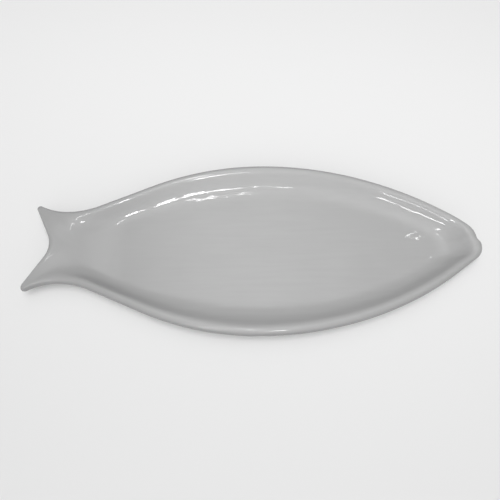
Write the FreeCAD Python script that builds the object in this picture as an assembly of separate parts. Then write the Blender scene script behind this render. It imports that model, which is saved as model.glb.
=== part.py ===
import FreeCAD, Part
import math
import os

# Fish shaped serving platter, glazed earthenware, in millimetres.
# +X points to the head, +Z up. The origin is under the middle of the platter,
# on the table. Overall sizes are taken over the glaze.

# Outline of the rim
platter_length = 500.0
platter_width = 209.0
widest_station = 5.0          # x of the widest place
mouth_height = 10.0           # straight stretch of the blunt mouth, across Y
lip_corner_radius = 20.0      # rounding between the mouth and the head's sides
lower_lip_reach = 3.0         # how far the lower lip stands past the upper one
lip_step_length = 3.5         # stretch of the mouth in which the lips change over
lip_step_fade = 22.0          # the step dies out this far behind the mouth
flank_angle = 24.2            # degrees, straight flank behind the widest place
neck_width = 88.0             # across the narrowest place, before the tail
neck_radius = 113.0           # hollow curve from the flank into the neck
tail_length = 36.0            # neck to the tips
tail_flare = 8.0              # how far each tip stands out past the neck
tail_tip_radius = 4.0
tail_notch_depth = 21.0       # from the tips to the bottom of the tail's notch
tail_notch_radius = 32.0

# Heights
foot_height = 3.0
floor_thickness = 5.0
well_depth = 16.0
rim_thickness = 6.5           # height of the rim's outer flank

# Lip and inner wall, across the wall beside the widest place
lip_width = 9.5               # outer edge to the start of the inner slope
wall_foot_width = 10.0        # slope's end to the edge of the well's floor

# Edge of the well, where the wall has run out into the floor
wall_run = 39.5               # outer edge to the well's edge, at the widest place
well_widest_station = 15.0
well_head_run = 33.0          # from the mouth back to the well's head end
well_head_radius = 22.0
well_tail_run = 12.0          # from the tail notch forward to the well's tail end
well_tail_radius = 16.0
floor_margin = 5.0            # well's edge to the flat of the floor
ramp_run = 84.0               # the floor climbs to the tail notch over this
ramp_bend_length = 50.0       # stretch in which the climb steepens
ramp_end_drop = 1.5           # ramp's end below the rim, at the tail notch
flat_tail_radius = 40.0

# Underside and foot ring
heel_run = 34.0               # outer edge to the heel, at the widest place
heel_width = 4.5              # reach of the rounding at the heel, there
foot_margin = 4.0             # bare flat outside the foot ring
foot_width = 6.0
foot_bevel = 1.0

# Glaze, over the face and the lip
glaze_thickness = 0.6

# Points along each piece of half the rim's outline, mouth to notch, which all
# the rings share. The tail tips and lip corners turn sharply and take more.
outline_counts = ((1, 2, 3), (2, 2, 2), (1, 3, 1, 1))
strip_reach = 40.0            # a straight leg of the wall is cut up where it is wider
floor_strips = 2              # from the well's edge to the flat of the floor

rim_height = foot_height + floor_thickness + well_depth
floor_height = foot_height + floor_thickness
tail_end = -platter_length / 2
mouth_station = platter_length / 2 - lower_lip_reach / 2
neck_station = tail_end + tail_length
notch_station = tail_end + tail_notch_depth
ramp_station = notch_station + ramp_run
half_width = platter_width / 2
half_well = half_width - wall_run


def arc(centre, radius, begin, end):
    """A round piece of outline: its length, and its point at a share of it."""
    def at(share):
        angle = begin + (end - begin) * share
        return (centre[0] + radius * math.cos(angle),
                centre[1] + radius * math.sin(angle))
    return abs(radius * (end - begin)), at


def line(start, end):
    def at(share):
        return tuple(a + (b - a) * share for a, b in zip(start, end))
    return math.dist(start, end), at


def side_radius(reach, rise, end_radius):
    """Radius of a side that leaves the widest place level and runs tangent
    into an end rounding, whose centre lies reach along and rise across."""
    return (reach ** 2 + rise ** 2 - end_radius ** 2) / (2 * (rise - end_radius))


def rim_outline():
    """Half of the rim's outer edge as tangent arcs and lines, in three
    stretches: mouth to widest place, on to the neck, and on to the notch."""
    mouth_top = mouth_height / 2
    corner = (mouth_station - lip_corner_radius, mouth_top)
    head_radius = side_radius(
        corner[0] - widest_station, half_width - mouth_top, lip_corner_radius)
    head_centre = (widest_station, half_width - head_radius)
    lip_angle = math.atan2(corner[1] - head_centre[1], corner[0] - head_centre[0])
    head = [
        line((mouth_station, 0.0), (mouth_station, mouth_top)),
        arc(corner, lip_corner_radius, 0.0, lip_angle),
        arc(head_centre, head_radius, lip_angle, math.pi / 2)]

    # The side falls from the widest place to the neck: an arc, a straight
    # flank and a hollow arc, all tangent.
    neck_half = neck_width / 2
    slope = math.radians(flank_angle)
    back_radius = (
        (widest_station - neck_station) * math.sin(slope)
        - (half_width - neck_half) * math.cos(slope)
    ) / (1.0 - math.cos(slope)) - neck_radius
    back = arc((widest_station, half_width - back_radius), back_radius,
               math.pi / 2, math.pi / 2 + slope)
    neck = arc((neck_station, neck_half + neck_radius), neck_radius,
               -math.pi / 2 + slope, -math.pi / 2)
    side = [back, line(back[1](1.0), neck[1](0.0)), neck]

    # The tail flares to a round tip, then runs straight into the notch.
    tip = (tail_end + tail_tip_radius, neck_half + tail_flare - tail_tip_radius)
    rise = tip[1] - neck_half
    fin_radius = ((tip[0] - neck_station) ** 2 + rise ** 2 - tail_tip_radius ** 2
                  ) / (2 * (rise + tail_tip_radius))
    fin_centre = (neck_station, neck_half + fin_radius)
    fin_angle = math.atan2(tip[1] - fin_centre[1], tip[0] - fin_centre[0])
    notch = (notch_station - tail_notch_radius, 0.0)
    facing = math.atan2(notch[1] - tip[1], notch[0] - tip[0]) - math.acos(
        (tail_notch_radius + tail_tip_radius) / math.dist(notch, tip))
    tip_arc = arc(tip, tail_tip_radius, fin_angle + math.pi, facing + 2 * math.pi)
    notch_arc = arc(notch, tail_notch_radius, facing + math.pi, 0.0)
    tail = [
        arc(fin_centre, fin_radius, -math.pi / 2, fin_angle),
        tip_arc,
        line(tip_arc[1](1.0), notch_arc[1](0.0)),
        notch_arc]
    return [head, side, tail]


def oval_outline(front, back, half, widest, front_radius, back_radius, inset=0.0):
    """Half of a pointed oval in the same three stretches, or the parallel
    curve at an inset inside it."""
    head_radius = side_radius(front - front_radius - widest, half, front_radius)
    tail_radius = side_radius(widest - back - back_radius, half, back_radius)
    head_angle = math.atan2(
        head_radius - half, front - front_radius - widest)
    tail_angle = math.atan2(
        tail_radius - half, back + back_radius - widest)
    head = [
        arc((front - front_radius, 0.0), front_radius - inset, 0.0, head_angle),
        arc((widest, half - head_radius), head_radius - inset,
            head_angle, math.pi / 2)]
    side = [arc((widest, half - tail_radius), tail_radius - inset,
                math.pi / 2, tail_angle)]
    tail = [arc((back + back_radius, 0.0), back_radius - inset,
                tail_angle, math.pi)]
    return [head, side, tail]


def stations(outline):
    """(stretch, share of its length) of every ring point on half an outline."""
    found = []
    for number, (stretch, counts) in enumerate(zip(outline, outline_counts)):
        total = sum(length for length, _ in stretch)
        begun = 0.0
        for (length, _), count in zip(stretch, counts):
            found += [(number, (begun + length * step / count) / total)
                      for step in range(count)]
            begun += length
    return found + [(len(outline) - 1, 1.0)]


def point_on(outline, stretch, share):
    pieces = outline[stretch]
    left = share * sum(length for length, _ in pieces)
    for length, at in pieces[:-1]:
        if left <= length:
            return at(left / length)
        left -= length
    return pieces[-1][1](min(left / pieces[-1][0], 1.0))


def whole(outline):
    """All points round an outline: over the +Y side, back under the -Y side."""
    upper = [point_on(outline, *station) for station in rim_stations]
    return upper + [(x, -y) for x, y in reversed(upper[1:-1])]


def with_lips(points):
    """The lower lip stands out past the upper one, in a soft step."""
    stepped = []
    for x, y in points:
        near = max(0.0, 1.0 - (mouth_station - x) / lip_step_fade)
        fade = near * near * (3.0 - 2.0 * near)
        step = lower_lip_reach / 2 * math.tanh(y / lip_step_length)
        stepped.append((x - fade * step, y))
    return stepped


def toward(start, end, distance):
    whole_way = math.dist(start, end)
    return tuple(a + (b - a) * distance / whole_way for a, b in zip(start, end))


def inward_normal(before, point, after):
    back, on = math.dist(before, point), math.dist(point, after)
    along = [(b - a) / back + (c - b) / on for a, b, c in zip(before, point, after)]
    size = math.hypot(*along)
    return -along[1] / size, along[0] / size


rim_stations = stations(rim_outline())
rim = with_lips(whole(rim_outline()))
well = whole(oval_outline(
    mouth_station - well_head_run, notch_station + well_tail_run,
    half_well, well_widest_station, well_head_radius, well_tail_radius))


def flat_outline(inset=0.0):
    """Outline of the flat of the floor and of the underside below it."""
    return oval_outline(
        mouth_station - well_head_run - floor_margin, ramp_station,
        half_well - floor_margin, well_widest_station,
        well_head_radius, flat_tail_radius, inset)


flat = whole(flat_outline())
inward = [inward_normal(*three) for three in zip(rim[-1:] + rim, rim, rim[1:] + rim)]
ring_steps = [math.dist(a, b) for a, b in zip(rim, rim[1:] + rim[:1])]
ring_knots = [sum(ring_steps[:count]) for count in range(len(rim) + 1)]
stretch_ends = [sum(map(sum, outline_counts[:count])) for count in range(4)]
cuts = [ring_knots[place] for place in stretch_ends] + [
    ring_knots[len(rim) - place] for place in reversed(stretch_ends[:-1])]


def ramp_height(x):
    """Height of the well's floor, which climbs to the tail: level, then a
    parabola, then straight up to just below the rim at the notch."""
    rise = rim_height - ramp_end_drop - floor_height
    slope = rise / (ramp_run - ramp_bend_length / 2)
    past = ramp_station - x
    if past <= 0.0:
        return floor_height
    if past < ramp_bend_length:
        return floor_height + slope * past ** 2 / (2 * ramp_bend_length)
    return floor_height + slope * (past - ramp_bend_length / 2)


def rounded(corners):
    """Round the inner corners (inset, height, reach, strips) of a path of
    straight legs, each rounding reaching so far along both its legs. Gives
    for each a list of points (inset, height, outward normal)."""
    roundings = []
    for before, corner, after in zip(corners, corners[1:], corners[2:]):
        inset, height, reach, strips = corner
        heading = math.atan2(height - before[1], inset - before[0])
        turn = math.remainder(
            math.atan2(after[1] - height, after[0] - inset) - heading, 2 * math.pi)
        radius = reach / math.tan(turn / 2)
        centre = (inset - reach * math.cos(heading) - radius * math.sin(heading),
                  height - reach * math.sin(heading) + radius * math.cos(heading))
        angles = [heading + turn * step / strips for step in range(strips + 1)]
        roundings.append([
            (centre[0] + radius * math.sin(angle), centre[1] - radius * math.cos(angle),
             -math.sin(angle), math.cos(angle)) for angle in angles])
    return roundings


def wall_section(number):
    """Section through the wall at one ring point: from under the edge of the
    well round the heel and up the outside to the middle of the rim's flank,
    and from there over the lip and down to the edge of the well. Where the
    wall is narrower than at the widest place, its parts are in proportion."""
    well_at = math.dist(rim[number], well[number])
    share = well_at / wall_run
    lip_round = rim_thickness / 2
    crown_reach = (lip_width - lip_round) * share
    foot_reach = wall_foot_width * share
    well_height = ramp_height(well[number][0])
    heel_at = heel_run * share
    heel_station, _ = toward(rim[number], well[number], heel_at)
    outer = rounded((
        (well_at, well_height - floor_thickness),
        (heel_at, ramp_height(heel_station) - floor_thickness, heel_width * share, 2),
        (0.0, rim_height - rim_thickness, lip_round, 2),
        (0.0, rim_height)))
    inner = rounded((
        (0.0, rim_height - rim_thickness),
        (0.0, rim_height, lip_round, 2),
        (lip_round + crown_reach, rim_height, crown_reach, 2),
        (well_at - foot_reach, well_height, foot_reach, 3),
        (well_at, well_height)))
    return outer, inner


def ring(points):
    """A smooth closed curve through one point of every section, in pieces
    that meet where the stretches of the outline do."""
    curve = Part.BSplineCurve()
    curve.interpolate(Points=points, PeriodicFlag=True, Parameters=ring_knots)
    pieces = []
    for begin, end in zip(cuts, cuts[1:]):
        piece = curve.copy()
        piece.segment(begin, end)
        pieces.append(piece)
    return pieces


def cap(pieces):
    return Part.Face(Part.Wire([piece.toShape() for piece in pieces]))


def skin(first, last):
    """Surfaces straight across from one ring to the next, one a piece."""
    faces = []
    for sides in zip(first, last):
        along = sides[0]
        surface = Part.BSplineSurface()
        surface.buildFromPolesMultsKnots(
            [side.getPoles() for side in sides], [2, 2], along.getMultiplicities(),
            [0.0, 1.0], along.getKnots(), False, False, 1, along.Degree)
        faces.append(surface.toShape())
    return faces


def wall_rings(side, depth):
    """The points of every ring in each rounding of the wall, on one side of
    the lip, depth under the glaze's surface."""
    sections = [wall_section(number)[side] for number in range(len(rim))]
    roundings = []
    for place, rounding in enumerate(sections[0]):
        rings = []
        for step in range(len(rounding)):
            points = []
            for start, end, inwards, section in zip(rim, well, inward, sections):
                inset, height, over, up = section[place][step]
                x, y = toward(start, end, inset)
                points.append(FreeCAD.Vector(
                    x - depth * over * inwards[0], y - depth * over * inwards[1],
                    height - depth * up))
            rings.append(points)
        roundings.append(rings)
    return roundings


def floor_rings(depth):
    """Rings from the edge of the well to the flat of the floor."""
    rings = []
    for step in range(floor_strips + 1):
        points = [toward(edge, end, math.dist(edge, end) * step / floor_strips)
                  for edge, end in zip(well, flat)]
        rings.append([FreeCAD.Vector(x, y, ramp_height(x) - depth) for x, y in points])
    return rings


def face_rings(depth):
    """The rings of the glazed face, from under the lip to the flat of the
    floor, depth under the surface of the glaze."""
    _, lower_lip = wall_rings(0, depth)
    return [lower_lip] + wall_rings(1, depth) + [floor_rings(depth)]


def skinned(roundings):
    """Rings through all the roundings in turn, and the faces between them.
    A wide straight leg between two roundings takes more than one strip."""
    path = roundings[0]
    for points in roundings[1:]:
        ends = list(zip(path[-1], points[0]))
        reach = max(end.distanceToPoint(start) for start, end in ends)
        strips = math.ceil(reach / strip_reach - 0.001)
        path = path + [[start + (end - start) * (step / strips) for start, end in ends]
                       for step in range(1, strips + 1)] + points[1:]
    rings = [ring(points) for points in path]
    faces = [face for pair in zip(rings, rings[1:]) for face in skin(*pair)]
    return rings, faces


def closed(faces):
    shell = Part.makeShell(faces)
    shell.sewShape()
    return Part.makeSolid(shell)


def plate(inset, bottom, top):
    """A level plate with the outline of the flat at an inset, in true arcs."""
    edges = []
    for side in (1, -1):
        for _, at in sum(flat_outline(inset), []):
            edges.append(Part.Arc(*[
                FreeCAD.Vector(x, side * y, bottom)
                for x, y in (at(0.0), at(0.5), at(1.0))]).toShape())
    outline = Part.Wire(Part.__sortEdges__(edges))
    return Part.Face(outline).extrude(FreeCAD.Vector(0, 0, top - bottom))


def clay_body():
    """The fired clay, one piece from the mouth to the tail."""
    underside = floor_rings(floor_thickness)[::-1]
    bare_heel, _ = wall_rings(0, 0.0)
    rings, faces = skinned([underside, bare_heel] + face_rings(glaze_thickness))
    return closed(faces + [cap(rings[0]), cap(rings[-1])])


def glaze():
    """The coat over the face and round the lip, down to the lip's underside."""
    outer, outer_faces = skinned(face_rings(0.0))
    inner, inner_faces = skinned(face_rings(glaze_thickness))
    return closed(outer_faces + inner_faces + skin(outer[0], inner[0])
                  + [cap(outer[-1]), cap(inner[-1])])


def foot_ring():
    """The bare ring that the platter stands on, luted to the underside."""
    band = plate(foot_margin, 0.0, foot_height).cut(
        plate(foot_margin + foot_width, 0.0, foot_height))
    on_table = [edge for edge in band.Edges if edge.BoundBox.ZMax < foot_bevel]
    return band.makeChamfer(foot_bevel, on_table)


os.makedirs("parts", exist_ok=True)
for piece in (clay_body, foot_ring, glaze):
    shape = piece()
    shape.exportStep(f"parts/{piece.__name__}.step")
    box = shape.BoundBox
    print(f"{piece.__name__}: valid {shape.isValid()}, solids {len(shape.Solids)}, "
          f"faces {len(shape.Faces)}, volume {shape.Volume:.0f}, "
          f"x {box.XMin:.2f} {box.XMax:.2f}, y {box.YMin:.2f} {box.YMax:.2f}, "
          f"z {box.ZMin:.2f} {box.ZMax:.2f}")
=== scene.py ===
import math

import bpy
import numpy as np
from mathutils import Matrix, Vector


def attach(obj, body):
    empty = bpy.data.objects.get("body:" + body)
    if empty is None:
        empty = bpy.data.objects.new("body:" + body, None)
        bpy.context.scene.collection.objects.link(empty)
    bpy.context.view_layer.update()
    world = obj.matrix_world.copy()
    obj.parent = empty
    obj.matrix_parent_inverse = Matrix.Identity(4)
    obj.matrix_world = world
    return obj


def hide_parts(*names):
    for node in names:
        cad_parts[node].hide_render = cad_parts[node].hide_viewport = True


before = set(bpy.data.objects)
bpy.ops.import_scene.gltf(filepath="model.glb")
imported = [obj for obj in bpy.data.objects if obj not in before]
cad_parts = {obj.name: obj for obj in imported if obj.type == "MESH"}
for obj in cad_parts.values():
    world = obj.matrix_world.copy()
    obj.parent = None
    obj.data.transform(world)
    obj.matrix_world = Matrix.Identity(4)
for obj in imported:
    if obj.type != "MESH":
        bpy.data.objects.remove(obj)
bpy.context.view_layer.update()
print("frame loaded:", sorted(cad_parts))


class Wire:
    # a node's output, on which sums add Math nodes
    def __init__(self, graph, socket):
        self.graph = graph
        self.socket = socket

    def math(self, operation, *values):
        return self.graph.add("ShaderNodeMath", {"operation": operation},
                              dict(enumerate(values)))

    def __add__(self, other):
        return self.math("ADD", self, other)

    def __sub__(self, other):
        return self.math("SUBTRACT", self, other)

    def __rsub__(self, other):
        return self.math("SUBTRACT", other, self)

    def __mul__(self, other):
        return self.math("MULTIPLY", self, other)

    def __truediv__(self, other):
        return self.math("DIVIDE", self, other)

    def __rtruediv__(self, other):
        return self.math("DIVIDE", other, self)

    def __pow__(self, other):
        return self.math("POWER", self, other)

    __radd__ = __add__
    __rmul__ = __mul__

    def between(self, low, high):
        # 0 below low, 1 above high, eased in between
        return self.graph.add(
            "ShaderNodeMapRange", {"interpolation_type": "SMOOTHSTEP"},
            {"Value": self, "From Min": low, "From Max": high})


class Graph:
    def __init__(self, tree):
        self.tree = tree

    def add(self, kind, settings=None, inputs=None, out=0):
        node = self.tree.nodes.new(kind)
        for name, value in (settings or {}).items():
            setattr(node, name, value)
        for key, value in (inputs or {}).items():
            if isinstance(value, Wire):
                self.tree.links.new(value.socket, node.inputs[key])
            else:
                node.inputs[key].default_value = value
        if isinstance(out, tuple):
            return [Wire(self, node.outputs[name]) for name in out]
        return Wire(self, node.outputs[out]) if len(node.outputs) else node

    def blend(self, factor, dark, light):
        return self.add("ShaderNodeMix", {"data_type": "RGBA"},
                        {0: factor, 6: dark, 7: light}, out=2)


def grey(level):
    return (level, level, level, 1.0)


def newObject(name, data):
    made = bpy.data.objects.new(name, data)
    bpy.context.scene.collection.objects.link(made)
    return made


def newMaterial(name):
    material = bpy.data.materials.new(name)
    material.use_nodes = True
    material.node_tree.nodes.clear()
    return material, Graph(material.node_tree)


def newForm(name, sizes):
    # a Geometry Nodes tree with its named sizes, and their wires
    tree = bpy.data.node_groups.new(name, "GeometryNodeTree")
    tree.interface.new_socket("Geometry", in_out="INPUT", socket_type="NodeSocketGeometry")
    for label, kind in sizes.items():
        tree.interface.new_socket(label, in_out="INPUT", socket_type="NodeSocket" + kind)
    tree.interface.new_socket("Geometry", in_out="OUTPUT", socket_type="NodeSocketGeometry")
    graph = Graph(tree)
    entry = tree.nodes.new("NodeGroupInput")
    return graph, {socket.name: Wire(graph, socket) for socket in entry.outputs if socket.name}


def endForm(graph, geometry, finish):
    real = graph.add("GeometryNodeRealizeInstances", inputs={"Geometry": geometry})
    painted = graph.add("GeometryNodeSetMaterial",
                        inputs={"Geometry": real, "Material": finish})
    graph.add("NodeGroupOutput", inputs={"Geometry": painted})
    return graph.tree


def formed(piece, tree, values):
    # runs the tree on the piece and keeps the result as a plain mesh
    modifier = piece.modifiers.new(tree.name, "NODES")
    modifier.node_group = tree
    for item in tree.interface.items_tree:
        if item.in_out == "INPUT" and item.name in values:
            modifier[item.identifier] = values[item.name]
    evaluated = piece.evaluated_get(bpy.context.evaluated_depsgraph_get())
    mesh = bpy.data.meshes.new_from_object(evaluated)
    piece.modifiers.remove(modifier)
    name = piece.name
    bpy.data.objects.remove(piece)
    result = newObject(name, mesh)
    mesh.polygons.foreach_set("use_smooth", [True] * len(mesh.polygons))
    print(name, "formed:", len(mesh.polygons), "faces")
    return result


# The platter's sizes, in metres. Its head points along +X.
platter = {
    "length": 0.4995, "width": 0.2088, "widestStation": 0.005,
    "mouthHeight": 0.010, "lipCornerRadius": 0.020,
    "lowerLipReach": 0.0036, "lipStepLength": 0.0026, "lipStepFade": 0.022,
    "flankAngle": math.radians(24.2), "neckWidth": 0.088, "neckRadius": 0.088,
    "tailLength": 0.036, "tailFlare": 0.008, "tipRadius": 0.0033,
    "notchDepth": 0.021, "notchRadius": 0.032,
    "footHeight": 0.003, "floorThickness": 0.005, "wellDepth": 0.0156,
    "rimThickness": 0.0090, "lipRound": 0.0031, "lipReach": 0.0056, "lipDrop": 0.0052,
    "lipWidth": 0.0094, "crownReach": 0.0038, "wallFoot": 0.013, "wallFootLimit": 0.495,
    "wallRun": 0.0395, "wellStation": 0.015, "wellHeadRun": 0.046,
    "wellHeadRadius": 0.018, "wellTailRun": 0.022, "wellTailRadius": 0.012,
    "floorMargin": 0.004, "flatHeadRun": 0.038, "flatHeadRadius": 0.022,
    "rampRun": 0.084, "rampBend": 0.050, "rampDrop": -0.0018, "flatTailRadius": 0.040,
    "heelRun": 0.034, "heelWidth": 0.0045, "glaze": 0.0006,
}
# How finely the form is made: points along the head, flank and tail on one side, and rows
# across each part of the section
fineness = {
    "points": (130, 90, 100), "crowding": (1.5, 1.0, 1.0),
    "cornerRows": 9, "lipRows": 13, "footRows": 13,
    "undersideSteps": 10, "flankSteps": 2, "wallSteps": 7,
    "floorRows": 5, "spineRows": 22, "spineInset": (0.6, 0.45),
    "outlineSmoothing": 40, "sectionSmoothing": 3,
    "leastTurn": 1e-5, "weldGap": 2e-6,
}


def arc(centre, radius, begin, end):
    def at(share):
        angle = begin + (end - begin) * share
        return np.stack([centre[0] + radius * np.cos(angle),
                         centre[1] + radius * np.sin(angle)], axis=-1)
    return abs(radius * (end - begin)), at


def line(start, end):
    def at(share):
        return np.array(start) + (np.array(end) - np.array(start)) * share[..., None]
    return math.dist(start, end), at


def sideRadius(reach, rise, endRadius):
    return (reach ** 2 + rise ** 2 - endRadius ** 2) / (2 * (rise - endRadius))


mouthStation = platter["length"] / 2 - platter["lowerLipReach"] / 2
tailEnd = -platter["length"] / 2
neckStation = tailEnd + platter["tailLength"]
notchStation = tailEnd + platter["notchDepth"]
rampStation = notchStation + platter["rampRun"]
halfWidth = platter["width"] / 2
halfWell = halfWidth - platter["wallRun"]
floorHeight = platter["footHeight"] + platter["floorThickness"]
rimHeight = floorHeight + platter["wellDepth"]


def rimOutline():
    # half of the rim's outer edge: mouth to widest place, to the neck, to the notch
    p = platter
    mouthTop = p["mouthHeight"] / 2
    corner = (mouthStation - p["lipCornerRadius"], mouthTop)
    headRadius = sideRadius(corner[0] - p["widestStation"], halfWidth - mouthTop,
                            p["lipCornerRadius"])
    headCentre = (p["widestStation"], halfWidth - headRadius)
    lipAngle = math.atan2(corner[1] - headCentre[1], corner[0] - headCentre[0])
    head = [line((mouthStation, 0.0), (mouthStation, mouthTop)),
            arc(corner, p["lipCornerRadius"], 0.0, lipAngle),
            arc(headCentre, headRadius, lipAngle, math.pi / 2)]

    neckHalf = p["neckWidth"] / 2
    slope = p["flankAngle"]
    backRadius = ((p["widestStation"] - neckStation) * math.sin(slope)
                  - (halfWidth - neckHalf) * math.cos(slope)
                  ) / (1.0 - math.cos(slope)) - p["neckRadius"]
    back = arc((p["widestStation"], halfWidth - backRadius), backRadius,
               math.pi / 2, math.pi / 2 + slope)
    neck = arc((neckStation, neckHalf + p["neckRadius"]), p["neckRadius"],
               -math.pi / 2 + slope, -math.pi / 2)
    side = [back, line(back[1](np.array(1.0)), neck[1](np.array(0.0))), neck]

    tip = (tailEnd + p["tipRadius"], neckHalf + p["tailFlare"] - p["tipRadius"])
    rise = tip[1] - neckHalf
    finRadius = ((tip[0] - neckStation) ** 2 + rise ** 2 - p["tipRadius"] ** 2
                 ) / (2 * (rise + p["tipRadius"]))
    finCentre = (neckStation, neckHalf + finRadius)
    finAngle = math.atan2(tip[1] - finCentre[1], tip[0] - finCentre[0])
    notch = (notchStation - p["notchRadius"], 0.0)
    facing = math.atan2(notch[1] - tip[1], notch[0] - tip[0]) - math.acos(
        (p["notchRadius"] + p["tipRadius"]) / math.dist(notch, tip))
    tipArc = arc(tip, p["tipRadius"], finAngle + math.pi, facing + 2 * math.pi)
    notchArc = arc(notch, p["notchRadius"], facing + math.pi, 0.0)
    tail = [arc(finCentre, finRadius, -math.pi / 2, finAngle), tipArc,
            line(tipArc[1](np.array(1.0)), notchArc[1](np.array(0.0))), notchArc]
    return [head, side, tail]


def ovalOutline(front, back, half, widest, frontRadius, backRadius, inset=0.0):
    headRadius = sideRadius(front - frontRadius - widest, half, frontRadius)
    tailRadius = sideRadius(widest - back - backRadius, half, backRadius)
    headAngle = math.atan2(headRadius - half, front - frontRadius - widest)
    tailAngle = math.atan2(tailRadius - half, back + backRadius - widest)
    head = [arc((front - frontRadius, 0.0), frontRadius - inset, 0.0, headAngle),
            arc((widest, half - headRadius), headRadius - inset, headAngle, math.pi / 2)]
    side = [arc((widest, half - tailRadius), tailRadius - inset, math.pi / 2, tailAngle)]
    tail = [arc((back + backRadius, 0.0), backRadius - inset, tailAngle, math.pi)]
    return [head, side, tail]


def wellOutline(inset=0.0):
    return ovalOutline(
        mouthStation - platter["wellHeadRun"], notchStation + platter["wellTailRun"],
        halfWell, platter["wellStation"], platter["wellHeadRadius"], platter["wellTailRadius"],
        inset)


def flatOutline(inset=0.0):
    # the flat that the foot ring follows
    return ovalOutline(
        mouthStation - platter["flatHeadRun"], rampStation,
        halfWell - platter["floorMargin"], platter["wellStation"],
        platter["flatHeadRadius"], platter["flatTailRadius"], inset)


def allRound(outline):
    # points along each stretch of one side, closer together at the mouth, then mirrored
    upper = []
    for pieces, count, crowding in zip(outline, fineness["points"], fineness["crowding"]):
        shares = (np.arange(count) / count) ** crowding
        lengths = [length for length, _ in pieces]
        begins = np.cumsum([0.0] + lengths) / sum(lengths)
        points = np.zeros((count, 2))
        for (length, at), begin, end in zip(pieces, begins, begins[1:]):
            inside = (shares >= begin) & (shares <= end)
            points[inside] = at((shares[inside] - begin) / (end - begin))
        upper.append(points)
    upper = np.concatenate(upper + [outline[-1][-1][1](np.array([1.0]))])
    return np.concatenate([upper, upper[-2:0:-1] * (1, -1)])


def softened(points):
    for _ in range(fineness["outlineSmoothing"]):
        points = (np.roll(points, 1, axis=0) + points * 2 + np.roll(points, -1, axis=0)) / 4
    return points


def withLips(points):
    # the lower lip stands out past the upper one, in a soft step
    near = np.clip(1.0 - (mouthStation - points[:, 0]) / platter["lipStepFade"], 0.0, None)
    fade = near * near * (3.0 - 2.0 * near)
    step = platter["lowerLipReach"] / 2 * np.tanh(points[:, 1] / platter["lipStepLength"])
    return np.stack([points[:, 0] - fade * step, points[:, 1]], axis=1)


def rampHeight(x):
    rise = rimHeight - platter["rampDrop"] - floorHeight
    slope = rise / (platter["rampRun"] - platter["rampBend"] / 2)
    past = np.clip(rampStation - x, 0.0, None)
    bent = np.minimum(past, platter["rampBend"])
    return floorHeight + slope * (bent ** 2 / (2 * platter["rampBend"]) + past - bent)


rim = withLips(allRound(rimOutline()))
well = softened(allRound(wellOutline()))
inside = softened(allRound(wellOutline(platter["floorMargin"])))
inwards = well - rim
wellAt = np.linalg.norm(inwards, axis=1)
inwards = inwards / wellAt[:, None]
wallShare = wellAt / platter["wallRun"]
print("outlines laid out:", len(rim), "points round")


def rounding(before, corner, after, reach, steps):
    # rows of (inset, height) that round one corner of the section, reaching so far each way
    heading = np.arctan2(corner[1] - before[1], corner[0] - before[0])
    turn = np.arctan2(after[1] - corner[1], after[0] - corner[0]) - heading
    turn = (turn + math.pi) % (2 * math.pi) - math.pi
    turn = np.where(abs(turn) < fineness["leastTurn"], fineness["leastTurn"], turn)
    radius = reach / np.tan(turn / 2)
    rows = []
    for share in np.linspace(0.0, 1.0, steps):
        angle = heading + turn * share
        rows.append((
            corner[0] - reach * np.cos(heading) - radius * (np.sin(heading) - np.sin(angle)),
            corner[1] - reach * np.sin(heading) + radius * (np.cos(heading) - np.cos(angle))))
    return rows


def quarterOval(reach, drop, steps):
    # rows up from the lip's outer edge and over on to its crown
    return [(reach * (1.0 - math.cos(turn)), ones * rimHeight - drop * (1.0 - math.sin(turn)))
            for turn in np.linspace(0.0, math.pi / 2, steps)]


def leg(start, end, steps):
    # rows along a straight leg, without its two ends
    return [tuple(a + (b - a) * step / steps for a, b in zip(start, end))
            for step in range(1, steps)]


def placed(rows):
    return np.array([np.concatenate([rim + inwards * inset[:, None], height[:, None]], axis=1)
                     for inset, height in rows])


ones = np.ones(len(rim))
lipReach = platter["lipReach"] * np.sqrt(np.clip(wallShare, 0.0, 1.0))
crownAt = lipReach + (platter["lipWidth"] - platter["lipReach"]) * wallShare
crownReach = platter["crownReach"] * wallShare
footReach = np.minimum(platter["wallFoot"] * wallShare,
                       (wellAt - crownAt - crownReach) * platter["wallFootLimit"])
heelAt = platter["heelRun"] * np.clip(wallShare, 0.0, 1.0)
heelHeight = rampHeight((rim + inwards * heelAt[:, None])[:, 0]) - platter["floorThickness"]
edgeHeight = rampHeight(well[:, 0])
flankLow = (0.0 * ones, ones * (rimHeight - platter["rimThickness"]))
flankHigh = (0.0 * ones, ones * rimHeight)
crown = (crownAt, ones * rimHeight)
footAt = wellAt - footReach
wallFoot = (footAt, rampHeight((rim + inwards * footAt[:, None])[:, 0]))
wellEdge = (wellAt, edgeHeight)
underEdge = (wellAt, edgeHeight - platter["floorThickness"])
heel = (heelAt, heelHeight)

cornerRows = fineness["cornerRows"]
heelRows = rounding(underEdge, heel, flankLow, platter["heelWidth"] * wallShare, cornerRows)
lowLipRows = rounding(heel, flankLow, flankHigh, platter["lipRound"] * ones, cornerRows)
highLipRows = quarterOval(lipReach, platter["lipDrop"], fineness["lipRows"])
crownRows = rounding(flankHigh, crown, wallFoot, crownReach, cornerRows)
slopeRows = rounding(crown, wallFoot, wellEdge, footReach, fineness["footRows"])

bareRows = placed([underEdge] + heelRows
                  + leg(heelRows[-1], lowLipRows[0], fineness["undersideSteps"]))
faceRows = placed(lowLipRows + leg(lowLipRows[-1], highLipRows[0], fineness["flankSteps"])
                  + highLipRows + crownRows[1:]
                  + leg(crownRows[-1], slopeRows[0], fineness["wallSteps"]) + slopeRows)


def floorBand(drop):
    # rows from the edge of the well a little way in over the floor
    rows = []
    for step in range(1, fineness["floorRows"] + 1):
        points = well + (inside - well) * (step / fineness["floorRows"])
        rows.append(np.concatenate([points, rampHeight(points[:, :1]) - drop], axis=1))
    return np.array(rows)


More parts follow.
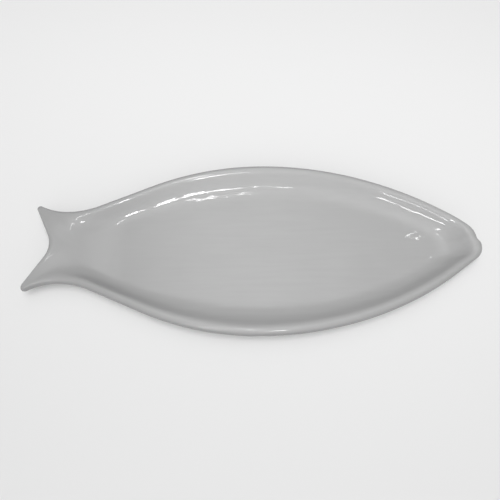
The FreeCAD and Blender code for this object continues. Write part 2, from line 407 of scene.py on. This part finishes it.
def toSpine(edge):
    # rows on over the floor to a line along the platter's middle
    low, high = edge[:, 0].min(), edge[:, 0].max()
    share = (edge[:, 0] - low) / (high - low)
    tailInset, headInset = fineness["spineInset"]
    begin, end = low + halfWell * tailInset, high - halfWell * headInset
    middle = np.stack([begin + (end - begin) * share, 0 * share, edge[:, 2]], axis=1)
    steps = np.arange(1, fineness["spineRows"] + 1)[:, None, None] / fineness["spineRows"]
    rows = edge + (middle - edge) * steps
    rows[:, :, 2] = rampHeight(rows[:, :, 0]) + edge[:, 2] - rampHeight(edge[:, 0])
    return rows


def smoothed(grid):
    for _ in range(fineness["sectionSmoothing"]):
        grid[1:-1] = (grid[:-2] + grid[1:-1] * 2 + grid[2:]) / 4
    return grid


def normalsOf(grid):
    around = np.roll(grid, -1, axis=1) - np.roll(grid, 1, axis=1)
    normals = np.cross(around, np.gradient(grid, axis=0))
    lengths = np.linalg.norm(normals, axis=2, keepdims=True)
    return normals / np.maximum(lengths, 1e-12)     # never a division by nothing


underside = floorBand(platter["floorThickness"])[::-1]
shell = smoothed(np.concatenate([underside, bareRows, faceRows, floorBand(0.0)]))
lipStart = len(underside) + len(bareRows)
face, faceNormals = shell[lipStart:], normalsOf(shell)[lipStart:]


def lowered(depth):
    # the face sunk so far along its normals, with every second row, for the hidden sides
    return (face - faceNormals * depth)[::2]


def platterPiece(name, grid, marks):
    # a closed piece from rings that run from one middle line round the lip to the other,
    # with one value a ring for each of its marks
    rows, count = grid.shape[:2]
    starts = np.arange(rows - 1)[:, None] * count + np.arange(count)[None, :]
    following = np.roll(starts, -1, axis=1)
    quads = np.stack([starts, following, following + count, starts + count], axis=-1)
    built = bpy.data.meshes.new(name)
    built.from_pydata(grid.reshape(-1, 3).tolist(), [], quads.reshape(-1, 4).tolist())
    for label, values in marks.items():
        attribute = built.attributes.new(label, "FLOAT", "POINT")
        attribute.data.foreach_set("value", np.repeat(values, count).astype(np.float32))
    piece = newObject(name, built)
    weld = piece.modifiers.new("weld", "WELD")
    weld.merge_threshold = fineness["weldGap"]
    return piece


def handMadeForm():
    # hollows and ripples that a hand leaves, pressed into a surface where its marks say so
    graph, given = newForm("handMadeRelief", {
        "Hollow Depth": "Float", "Hollow Size": "Float",
        "Ripple Depth": "Float", "Ripple Size": "Float",
        "Lengthening": "Float", "Seed": "Float", "Finish": "Material"})
    place = graph.add("GeometryNodeInputPosition")
    drawnOut = graph.add("ShaderNodeCombineXYZ", inputs={
        "X": given["Lengthening"], "Y": 1.0, "Z": 1.0})
    along = graph.add("ShaderNodeVectorMath", {"operation": "DIVIDE"}, {0: place, 1: drawnOut})
    pressed = graph.add("GeometryNodeInputNamedAttribute", {"data_type": "FLOAT"},
                        {"Name": "pressed"})
    depth = 0.0
    for label in ("Hollow", "Ripple"):
        noise = graph.add("ShaderNodeTexNoise", {"noise_dimensions": "4D"}, {
            "Vector": along, "W": given["Seed"], "Scale": 1.0 / given[label + " Size"],
            "Detail": 1.0})
        depth = (noise - 0.5) * given[label + " Depth"] + depth
    normal = graph.add("GeometryNodeInputNormal")
    push = graph.add("ShaderNodeVectorMath", {"operation": "SCALE"},
                     {0: normal, "Scale": depth * pressed * -1.0})
    moved = graph.add("GeometryNodeSetPosition", inputs={
        "Geometry": given["Geometry"], "Offset": push})
    return endForm(graph, moved, given["Finish"])


def handMade(form, finish):
    # the tree's inputs for one piece
    return {"Hollow Depth": form["hollowDepth"], "Hollow Size": form["hollowSize"],
            "Ripple Depth": form["rippleDepth"], "Ripple Size": form["rippleSize"],
            "Lengthening": form["lengthening"], "Seed": form["seed"], "Finish": finish}


# The glaze: grey, glossy, over the face and round the lip
glazeLook = {
    # the flank tone is painted shade: a darker glaze colour on the lip's outer flank
    "tone": 0.395, "mottle": 0.025, "streak": 0.040, "paintedLipShadeTone": 0.275,
    # the tail tones paint shade: the glaze's colour darkens towards the tail
    "paintedTailShadeTone": 0.335, "paintedTailShadeFrom": 0.04, "paintedTailShadeTo": 0.25,
    "roughness": 0.035, "roughnessMore": 0.04, "ior": 1.52,
    "mottleScale": 16.0, "mottleDetail": 3.0,
    "streakScale": (16.0, 240.0, 240.0), "streakDetail": 4.0,
    "dimpleScale": 110.0, "dimpleDetail": 1.5, "dimpleDepth": 0.00002, "dimpleStrength": 0.5,
}


def glazeFinish():
    look = glazeLook
    material, graph = newMaterial("greyGlaze")
    place = graph.add("ShaderNodeTexCoord", out="Object")
    drawnOut = graph.add("ShaderNodeMapping", {"vector_type": "POINT"},
                         {"Vector": place, "Scale": look["streakScale"]})
    mottle = graph.add("ShaderNodeTexNoise", inputs={
        "Vector": place, "Scale": look["mottleScale"], "Detail": look["mottleDetail"]})
    streak = graph.add("ShaderNodeTexNoise", inputs={
        "Vector": drawnOut, "Scale": 1.0, "Detail": look["streakDetail"]})
    spread = look["mottle"] + look["streak"]
    level = (mottle - 0.5) * (2 * look["mottle"]) + (streak - 0.5) * (2 * look["streak"])
    shade = (level / spread) * 0.5 + 0.5
    body = graph.blend(shade, *[grey(look["tone"] * (1 + side * spread)) for side in (-1, 1)])
    # painted shade: the colour darkens on the lip's outer flank, where the rows are marked
    paintedLipShade = graph.add("ShaderNodeAttribute", {"attribute_name": "paintedLipShade"}, out="Fac")
    # painted shade: towards the tail the colour blends to a darker grey
    headward = graph.add("ShaderNodeSeparateXYZ", inputs={0: place})
    body = graph.blend((headward * -1.0).between(look["paintedTailShadeFrom"], look["paintedTailShadeTo"]), body,
                       grey(look["paintedTailShadeTone"]))
    colour = graph.blend(paintedLipShade, body, grey(look["paintedLipShadeTone"]))
    dimple = graph.add("ShaderNodeTexNoise", inputs={
        "Vector": place, "Scale": look["dimpleScale"], "Detail": look["dimpleDetail"]})
    bump = graph.add("ShaderNodeBump", inputs={
        "Height": dimple, "Strength": look["dimpleStrength"], "Distance": look["dimpleDepth"]})
    shader = graph.add("ShaderNodeBsdfPrincipled", inputs={
        "Base Color": colour, "Roughness": mottle * look["roughnessMore"] + look["roughness"],
        "IOR": look["ior"], "Normal": bump})
    graph.add("ShaderNodeOutputMaterial", inputs={"Surface": shader})
    return material


# Bare fired clay, on the underside and the foot ring
clayLook = {
    "tone": 0.50, "cloudShades": (0.94, 1.05), "cloudScale": 22.0, "cloudRange": (0.3, 0.7),
    "dustTone": 0.60, "dustShare": 0.5, "scrapeScale": (14.0, 420.0, 420.0),
    "scrapeRange": (0.52, 0.72),
    "grogTone": 0.36, "grogShare": 0.7, "grogScale": 1300.0, "grogRange": (0.10, 0.22),
    "fineRange": (0.5, 0.62), "cloudDetail": 4.0, "fineDetail": 3.0,
    "roughness": 0.78, "roughnessMore": 0.12, "grainDepth": 0.00012, "grainStrength": 0.6,
}


def clayFinish():
    look = clayLook
    material, graph = newMaterial("bareClay")
    place = graph.add("ShaderNodeTexCoord", out="Object")
    cloud = graph.add("ShaderNodeTexNoise", inputs={
        "Vector": place, "Scale": look["cloudScale"], "Detail": look["cloudDetail"]})
    grog = graph.add("ShaderNodeTexVoronoi", {"feature": "F1"}, {
        "Vector": place, "Scale": look["grogScale"]}, out="Distance")
    scraped = graph.add("ShaderNodeMapping", inputs={
        "Vector": place, "Scale": look["scrapeScale"]})
    scrape = graph.add("ShaderNodeTexNoise", inputs={
        "Vector": scraped, "Scale": 1.0, "Detail": look["fineDetail"]})
    fine = graph.add("ShaderNodeTexNoise", inputs={
        "Vector": place, "Scale": look["grogScale"], "Detail": look["fineDetail"]})
    body = graph.blend(cloud.between(*look["cloudRange"]),
                       *[grey(look["tone"] * shade) for shade in look["cloudShades"]])
    dusty = graph.blend(scrape.between(*look["scrapeRange"]) * look["dustShare"], body,
                        grey(look["dustTone"]))
    speck = ((1.0 - grog.between(*look["grogRange"])) * fine.between(*look["fineRange"])
             * look["grogShare"])
    colour = graph.blend(speck, dusty, grey(look["grogTone"]))
    height = scrape * 0.5 + fine * 0.5 - speck
    bump = graph.add("ShaderNodeBump", inputs={
        "Height": height, "Strength": look["grainStrength"], "Distance": look["grainDepth"]})
    shader = graph.add("ShaderNodeBsdfPrincipled", inputs={
        "Base Color": colour, "Roughness": fine * look["roughnessMore"] + look["roughness"],
        "Normal": bump})
    graph.add("ShaderNodeOutputMaterial", inputs={"Surface": shader})
    return material


greyGlaze, bareClay = glazeFinish(), clayFinish()
relief = handMadeForm()

# Glazed face: the coat closes under the lip in a small rolled edge
# Rows are counted from the coat's lower edge. On the lip's outer flank its colour is darkened
# as painted shade, and the hand's marks grow from a small share on the lip to the whole on the
# wall
glazeForm = {"rollSteps": 5, "paintedLipShadeRows": (14, 22), "lipShare": 0.2, "lipRows": (28, 42),
             "hollowDepth": 0.0011, "hollowSize": 0.034, "rippleDepth": 0.00045,
             "rippleSize": 0.014, "lengthening": 1.6, "seed": 4.0}

sunk = lowered(platter["glaze"])
coatUnder = np.concatenate([sunk, toSpine(sunk[-1])])[::-1]
start, downwards = face[0], face[0] - face[1]
downwards = downwards / np.linalg.norm(downwards, axis=1, keepdims=True)
roll = []
for step in range(1, glazeForm["rollSteps"]):
    angle = math.pi * step / glazeForm["rollSteps"]
    roll.append(start - faceNormals[0] * platter["glaze"] * (0.5 + 0.5 * math.cos(angle))
                + downwards * platter["glaze"] * 0.5 * math.sin(angle))
coatTop = np.concatenate([face, toSpine(face[-1])])
coat = np.concatenate([coatUnder, np.array(roll), coatTop])
topStart = len(coatUnder) + len(roll)
rowNumber = np.arange(len(coat)) - topStart
pressed = np.interp(rowNumber, (-1, 0, *glazeForm["lipRows"]),
                    (0.0, glazeForm["lipShare"], glazeForm["lipShare"], 1.0))
# painted shade: full on the lip's outer rows, fading out over the given rows
paintedLipShade = np.interp(rowNumber, glazeForm["paintedLipShadeRows"], (1.0, 0.0)) * (rowNumber >= 0)
glazedFace = formed(platterPiece("glazedFace", coat, {"pressed": pressed, "paintedLipShade": paintedLipShade}),
                    relief, handMade(glazeForm, greyGlaze))
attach(glazedFace, "root")
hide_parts("glaze")

# Clay body: bare below, and sunk under the coat above
clayForm = {"sunk": 0.00003, "plainRows": 8, "hollowDepth": 0.0006, "hollowSize": 0.045,
            "rippleDepth": 0.00012, "rippleSize": 0.009, "lengthening": 2.5, "seed": 9.0}

bare = shell[:lipStart + 1]
covered = lowered(platter["glaze"] + clayForm["sunk"])
body = np.concatenate([toSpine(bare[0])[::-1], bare, covered, toSpine(covered[-1])])
pressed = np.zeros(len(body))
pressed[:fineness["spineRows"] + lipStart - clayForm["plainRows"]] = 1.0
clayBody = formed(platterPiece("clayBody", body, {"pressed": pressed}),
                  relief, handMade(clayForm, bareClay))
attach(clayBody, "root")
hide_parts("clay_body")

# Foot ring: a rounded band swept along the outline of the flat, let into the clay
footRing = {"margin": 0.004, "width": 0.006, "edge": 0.0011, "sink": 0.0008, "steps": 6}


def footRingForm():
    graph, given = newForm("sweptFootRing", {
        "Width": "Float", "Height": "Float", "Edge": "Float", "Steps": "Int",
        "Finish": "Material"})
    section = graph.add("GeometryNodeCurvePrimitiveQuadrilateral", {"mode": "RECTANGLE"},
                        {"Width": given["Width"], "Height": given["Height"]})
    rounded = graph.add("GeometryNodeFilletCurve", {"mode": "POLY"}, {
        "Curve": section, "Count": given["Steps"], "Radius": given["Edge"]})
    path = graph.add("GeometryNodeMeshToCurve", inputs={"Mesh": given["Geometry"]})
    upright = graph.add("GeometryNodeSetCurveNormal", {"mode": "Z_UP"}, {"Curve": path})
    swept = graph.add("GeometryNodeCurveToMesh", inputs={
        "Curve": upright, "Profile Curve": rounded})
    return endForm(graph, swept, given["Finish"])


ringHeight = platter["footHeight"] + footRing["sink"]
midRing = allRound(flatOutline(footRing["margin"] + footRing["width"] / 2))
pathMesh = bpy.data.meshes.new("footRingPath")
pathMesh.from_pydata([(x, y, ringHeight / 2) for x, y in midRing],
                     [(i, (i + 1) % len(midRing)) for i in range(len(midRing))], [])
ring = formed(newObject("footRing", pathMesh), footRingForm(), {
    "Width": footRing["width"], "Height": ringHeight, "Edge": footRing["edge"],
    "Steps": footRing["steps"], "Finish": bareClay})
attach(ring, "root")
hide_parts("foot_ring")

# Studio: pale floor with painted light towards the back, an even sky, a long soft light
# overhead, small lamps
studio = {
    "floorSize": 16.0, "paintedFloorTones": (0.715, 0.89), "floorReach": 0.35, "floorSlant": 0.15,
    "floorGlow": 0.12, "floorGlowTone": 0.86, "floorFade": (0.8, 4.0),
    "fill": 0.30, "pale": 0.75,
    "overheadLight": 1.25, "overheadWidth": 0.25, "overheadFade": (0.2, 0.6), "lean": 0.6,
    "nearWidening": 0.6, "nearFading": 0.35,
    "keyDirection": (0.0, -0.22, 0.97), "keyDistance": 1.2, "keySize": 0.6, "keyPower": 6.5,
    "lampDistance": 3.0,
}
# Small lamps, which show only in the gloss: the place on the platter that each is aimed at,
# where it stands from there, its width and height in metres, brightness, and degrees turned
lamps = {
    "tailWindow": ((-0.129, 0.052, 0.011), (0.10, -0.34, 0.93), (0.10, 0.20), 14.0, 19.0),
    "tailPane": ((-0.095, 0.065, 0.012), (0.13, -0.385, 0.91), (0.07, 0.55), 28.0, 16.0),
    "tailSpot": ((-0.043, 0.077, 0.012), (0.08, -0.33, 0.94), (0.03, 0.10), 26.0, 12.0),
    "headWindow": ((0.193, 0.037, 0.017), (-0.36, -0.69, 0.63), (0.60, 0.12), 17.0, 0.0),
    "headSpot": ((0.209, 0.019, 0.012), (-0.24, -0.35, 0.91), (0.06, 0.60), 30.0, -38.0),
    "floorSpot": ((0.187, 0.007, 0.008), (0.327, 0.452, 0.82), (0.040, 0.040), 40.0, 0.0),
    "lipSpot": ((-0.013, -0.098, 0.0235), (-0.02, 0.22, 0.98), (0.05, 0.20), 24.0, 0.0),
    "overheadTube": ((-0.201, 0.024, 0.018), (0.06, 0.03, 1.0), (0.05, 0.5), 16.0, 0.0),
}


def seenRays(graph):
    # 1 for what the camera sees, directly or in gloss or glass
    camera, glossy, clear = graph.add(
        "ShaderNodeLightPath", out=("Is Camera Ray", "Is Glossy Ray", "Is Transmission Ray"))
    return camera.math("MAXIMUM", camera.math("MAXIMUM", camera, glossy), clear)


reach = studio["floorSize"] / 2
floorMesh = bpy.data.meshes.new("studioFloor")
floorMesh.from_pydata([(-reach, -reach, 0), (reach, -reach, 0), (reach, reach, 0),
                       (-reach, reach, 0)], [], [(0, 1, 2, 3)])
studioFloor = newObject("studioFloor", floorMesh)
paleFloor, floorGraph = newMaterial("paleFloor")
floorPlace = floorGraph.add("ShaderNodeTexCoord", out="Object")
acrossFloor, alongFloor = floorGraph.add("ShaderNodeSeparateXYZ", inputs={0: floorPlace},
                                         out=("X", "Y"))
farAway = floorGraph.add("ShaderNodeVectorMath", {"operation": "LENGTH"}, {0: floorPlace},
                         out="Value").between(*studio["floorFade"])
# painted light: the floor's colour grows lighter towards the back and a little towards +X
paintedFloorLight = (acrossFloor * studio["floorSlant"] + alongFloor).between(
    -studio["floorReach"], studio["floorReach"])
paintedFloorTone = floorGraph.blend(paintedFloorLight, *map(grey, studio["paintedFloorTones"]))
floorShader = floorGraph.add("ShaderNodeBsdfDiffuse", inputs={"Color": paintedFloorTone})
glowTone = floorGraph.blend(farAway, grey(studio["floorGlowTone"]), grey(studio["pale"]))
floorGlow = floorGraph.add("ShaderNodeEmission", inputs={"Color": glowTone})
glowShare = farAway * (1.0 - studio["floorGlow"]) + studio["floorGlow"]
floorMix = floorGraph.add("ShaderNodeMixShader", inputs={
    0: seenRays(floorGraph) * glowShare, 1: floorShader, 2: floorGlow})
floorGraph.add("ShaderNodeOutputMaterial", inputs={"Surface": floorMix})
floorMesh.materials.append(paleFloor)

world = bpy.data.worlds.new("studio")
world.use_nodes = True
world.node_tree.nodes.clear()
sky = Graph(world.node_tree)
lookingAt = sky.add("ShaderNodeTexCoord", out="Generated")
across, along, up = sky.add("ShaderNodeSeparateXYZ", inputs={0: lookingAt},
                            out=("X", "Y", "Z"))
towardCamera = along.math("MAXIMUM", along * -1.0, 0.0)
narrow = (across / (towardCamera * studio["nearWidening"] + studio["overheadWidth"])) ** 2.0
strip = narrow.math("EXPONENT", narrow * -1.0) * (up - along * studio["lean"]).between(
    *studio["overheadFade"])
strip = strip * (1.0 - towardCamera * studio["nearFading"])
level = (seenRays(sky) * (studio["pale"] - studio["fill"]) + studio["fill"]
         + strip * studio["overheadLight"])
backdrop = sky.add("ShaderNodeBackground", inputs={"Color": grey(1.0), "Strength": level})
sky.add("ShaderNodeOutputWorld", inputs={"Surface": backdrop})
bpy.context.scene.world = world


def placeLamp(name, place, direction, distance, width, height, power, turn=0.0):
    # a soft lamp that faces a place on the platter, with its width level before its turn
    lamp = bpy.data.lights.new(name, "AREA")
    lamp.shape = "RECTANGLE"
    lamp.size, lamp.size_y, lamp.energy = width, height, power
    holder = newObject(name, lamp)
    facing = Vector(direction).normalized()
    level = Vector((1.0, 0.0, 0.0))
    level = (level - facing * level.dot(facing)).normalized()
    turned = Matrix((level, facing.cross(level), facing)).transposed()
    turned = turned @ Matrix.Rotation(math.radians(turn), 3, "Z")
    away = Matrix.Translation(Vector(place) + facing * distance)
    holder.matrix_world = away @ turned.to_4x4()
    return holder


softKey = placeLamp("softKey", (0.0, 0.0, 0.0), studio["keyDirection"], studio["keyDistance"],
                    studio["keySize"], studio["keySize"], studio["keyPower"])
softKey.visible_glossy = False
for name, (place, direction, (width, height), brightness, turn) in lamps.items():
    lamp = placeLamp(name, place, direction, studio["lampDistance"], width, height,
                     brightness * math.pi * width * height, turn)
    lamp.visible_diffuse = False

view = {
    "target": (-0.00655, -0.00985, 0.024), "heading": (0.01488, 0.99989),
    "elevation": math.radians(63.6), "distance": 0.5117, "fieldOfView": math.radians(56.0),
    "nearest": 0.01,
}
camera = bpy.data.cameras.new("camera")
camera.angle = view["fieldOfView"]
camera.clip_start = view["nearest"]
cameraObject = newObject("camera", camera)
back = math.cos(view["elevation"]) * view["distance"]
cameraObject.location = (
    view["target"][0] - view["heading"][0] * back,
    view["target"][1] - view["heading"][1] * back,
    view["target"][2] + math.sin(view["elevation"]) * view["distance"])
aim = Vector(view["target"]) - cameraObject.location
cameraObject.rotation_euler = aim.to_track_quat("-Z", "Y").to_euler()
bpy.context.scene.camera = cameraObject
bpy.context.scene.view_settings.view_transform = "Standard"
print("studio and camera placed")
